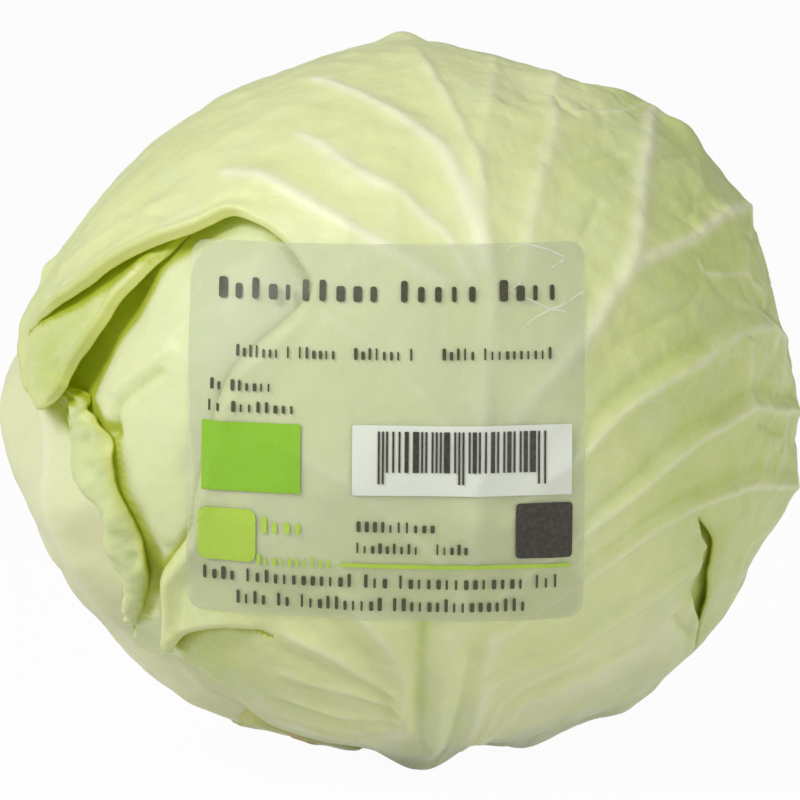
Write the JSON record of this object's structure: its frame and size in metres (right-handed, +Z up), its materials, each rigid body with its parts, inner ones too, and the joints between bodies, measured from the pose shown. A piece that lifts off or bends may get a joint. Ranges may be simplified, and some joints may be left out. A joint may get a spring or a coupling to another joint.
{
  "type": "white cabbage",
  "caption": "Round white cabbage head of tightly wrapped pale green leaves, standing on its trimmed stalk, with a plain clear produce label on the front.",
  "frame": {"origin": "middle of the flat cut face of the stalk, which the head stands on", "axes": "+Z up through the head; the front leaf's midrib and the label face -Y; +X to the right as seen from the front"},
  "size_m": [0.1594, 0.1567, 0.1467],
  "materials": {
    "leaf": "waxy satin, pale green with whitish veins",
    "heart_leaf": "waxy satin, paler yellow green",
    "leaf_base": "matt, pale green, brown where it was cut",
    "cut_stalk": "matt cut fibres, cream with a darker ring",
    "label_film": "frosted clear film"
  },
  "bodies": {
    "root": {"stalk": "cut_stalk", "heart": "heart_leaf", "front_leaf": "leaf", "back_left_leaf": "leaf", "right_leaf": "leaf", "left_leaf": "leaf", "back_right_leaf": "leaf", "trimmed_base_1": "leaf_base", "trimmed_base_2": "leaf_base", "trimmed_base_3": "leaf_base", "trimmed_base_4": "leaf_base", "label": "label_film"}
  },
  "joints": []
}
